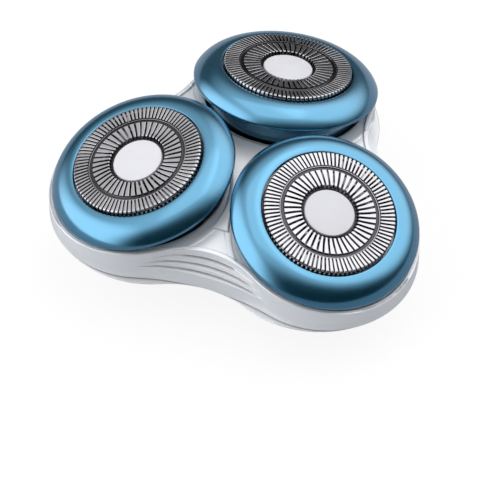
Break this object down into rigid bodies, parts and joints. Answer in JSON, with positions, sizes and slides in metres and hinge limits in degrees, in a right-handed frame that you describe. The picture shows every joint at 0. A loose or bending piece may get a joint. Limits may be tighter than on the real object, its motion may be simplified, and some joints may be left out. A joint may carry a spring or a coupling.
{
  "type": "rotary shaver head",
  "caption": "Trefoil head of a rotary shaver: slotted round shaving heads in domed rings that rock on a pull-off holder, above a geared base with a round coupling spigot.",
  "frame": {"origin": "middle of the lower end of the coupling spigot", "axes": "+Z along the axis of the spigot and the drive, away from the handle, +Y through the middle of the second shaving head"},
  "size_m": [0.0676, 0.0637, 0.026],
  "materials": {
    "cap_steel": "polished stamped steel",
    "disc_grey": "fine matt",
    "ring_blue": "metallic blue lacquer, satin",
    "bowl_dark": "gloss moulded",
    "holder_silver": "silver lacquer, satin",
    "base_silver": "silver lacquer, satin",
    "inner_black": "fine matt",
    "gear_white": "moulded",
    "cutter_steel": "ground",
    "spring_steel": "drawn wire"
  },
  "bodies": {
    "base": {"base_shell": "base_silver", "gear_cover": "inner_black"},
    "drive_gear": {"sun_gear": "gear_white"},
    "outer_gear_1": {"pinion_1": "gear_white", "spindle_spring_1": "spring_steel"},
    "outer_gear_2": {"pinion_2": "gear_white", "spindle_spring_2": "spring_steel"},
    "outer_gear_3": {"pinion_3": "gear_white", "spindle_spring_3": "spring_steel"},
    "drive_spindle_1": {"spindle_1": "gear_white"},
    "drive_spindle_2": {"spindle_2": "gear_white"},
    "drive_spindle_3": {"spindle_3": "gear_white"},
    "holder": {"holder_frame": "holder_silver", "centre_plate": "holder_silver"},
    "head_1": {"skin_ring_1": "ring_blue", "shaving_cap_1": "cap_steel", "cap_disc_1": "disc_grey", "head_bowl_1": "bowl_dark"},
    "head_2": {"skin_ring_2": "ring_blue", "shaving_cap_2": "cap_steel", "cap_disc_2": "disc_grey", "head_bowl_2": "bowl_dark"},
    "head_3": {"skin_ring_3": "ring_blue", "shaving_cap_3": "cap_steel", "cap_disc_3": "disc_grey", "head_bowl_3": "bowl_dark"},
    "retainer_1": {"retaining_ring_1": "inner_black"},
    "retainer_2": {"retaining_ring_2": "inner_black"},
    "retainer_3": {"retaining_ring_3": "inner_black"},
    "cutter_wheel_1": {"cutter_1": "cutter_steel", "cutter_hub_1": "gear_white"},
    "cutter_wheel_2": {"cutter_2": "cutter_steel", "cutter_hub_2": "gear_white"},
    "cutter_wheel_3": {"cutter_3": "cutter_steel", "cutter_hub_3": "gear_white"}
  },
  "joints": [
    {"name": "drive_spin", "type": "hinge", "parent": "base", "child": "drive_gear", "pos_m": [0, 0, 0.006], "axis": [0, 0, 1], "continuous": true},
    {"name": "outer_gear_spin_1", "type": "hinge", "parent": "base", "child": "outer_gear_1", "pos_m": [0.01689, -0.00975, 0.006], "axis": [0, 0, 1], "continuous": true},
    {"name": "outer_gear_spin_2", "type": "hinge", "parent": "base", "child": "outer_gear_2", "pos_m": [0, 0.0195, 0.006], "axis": [0, 0, 1], "continuous": true},
    {"name": "outer_gear_spin_3", "type": "hinge", "parent": "base", "child": "outer_gear_3", "pos_m": [-0.01689, -0.00975, 0.006], "axis": [0, 0, 1], "continuous": true},
    {"name": "spindle_press_1", "type": "slide", "parent": "outer_gear_1", "child": "drive_spindle_1", "axis": [0, 0, 1], "range_m": [-0.0012, 0], "stiffness_N_per_m": 200, "springref_m": 0.002, "deforming": ["spindle_spring_1"]},
    {"name": "spindle_press_2", "type": "slide", "parent": "outer_gear_2", "child": "drive_spindle_2", "axis": [0, 0, 1], "range_m": [-0.0012, 0], "stiffness_N_per_m": 200, "springref_m": 0.002, "deforming": ["spindle_spring_2"]},
    {"name": "spindle_press_3", "type": "slide", "parent": "outer_gear_3", "child": "drive_spindle_3", "axis": [0, 0, 1], "range_m": [-0.0012, 0], "stiffness_N_per_m": 200, "springref_m": 0.002, "deforming": ["spindle_spring_3"]},
    {"name": "holder_pull_off", "type": "slide", "parent": "base", "child": "holder", "axis": [0, 0, 1], "range_m": [0, 0.02]},
    {"name": "head_tilt_1", "type": "hinge", "parent": "holder", "child": "head_1", "pos_m": [0.01714, -0.0099, 0.01973], "axis": [-0.5, -0.866, 0], "range_deg": [0, 12], "stiffness_Nm_per_rad": 0.02, "springref_deg": -5.73},
    {"name": "head_tilt_2", "type": "hinge", "parent": "holder", "child": "head_2", "pos_m": [0, 0.01979, 0.01973], "axis": [1, 0, 0], "range_deg": [0, 12], "stiffness_Nm_per_rad": 0.02, "springref_deg": -5.73},
    {"name": "head_tilt_3", "type": "hinge", "parent": "holder", "child": "head_3", "pos_m": [-0.01714, -0.0099, 0.01973], "axis": [-0.5, 0.866, 0], "range_deg": [0, 12], "stiffness_Nm_per_rad": 0.02, "springref_deg": -5.73},
    {"name": "cutter_spin_1", "type": "hinge", "parent": "head_1", "child": "cutter_wheel_1", "pos_m": [0.0179, -0.01033, 0.0226], "axis": [0.2532, -0.1462, 0.9563], "continuous": true},
    {"name": "cutter_spin_2", "type": "hinge", "parent": "head_2", "child": "cutter_wheel_2", "pos_m": [0, 0.02067, 0.0226], "axis": [0, 0.2924, 0.9563], "continuous": true},
    {"name": "cutter_spin_3", "type": "hinge", "parent": "head_3", "child": "cutter_wheel_3", "pos_m": [-0.0179, -0.01033, 0.0226], "axis": [-0.2532, -0.1462, 0.9563], "continuous": true},
    {"name": "retainer_turn_1", "type": "hinge", "parent": "head_1", "child": "retainer_1", "pos_m": [0.0179, -0.01033, 0.0226], "axis": [0.2532, -0.1462, 0.9563], "range_deg": [0, 20]},
    {"name": "retainer_turn_2", "type": "hinge", "parent": "head_2", "child": "retainer_2", "pos_m": [0, 0.02067, 0.0226], "axis": [0, 0.2924, 0.9563], "range_deg": [0, 20]},
    {"name": "retainer_turn_3", "type": "hinge", "parent": "head_3", "child": "retainer_3", "pos_m": [-0.0179, -0.01033, 0.0226], "axis": [-0.2532, -0.1462, 0.9563], "range_deg": [0, 20]}
  ],
  "couplings": [
    {"joint": "outer_gear_spin_1", "follows": "drive_spin", "ratio": -1.6},
    {"joint": "outer_gear_spin_2", "follows": "drive_spin", "ratio": -1.6},
    {"joint": "outer_gear_spin_3", "follows": "drive_spin", "ratio": -1.6},
    {"joint": "cutter_spin_1", "follows": "drive_spin", "ratio": -1.6},
    {"joint": "cutter_spin_2", "follows": "drive_spin", "ratio": -1.6},
    {"joint": "cutter_spin_3", "follows": "drive_spin", "ratio": -1.6}
  ]
}
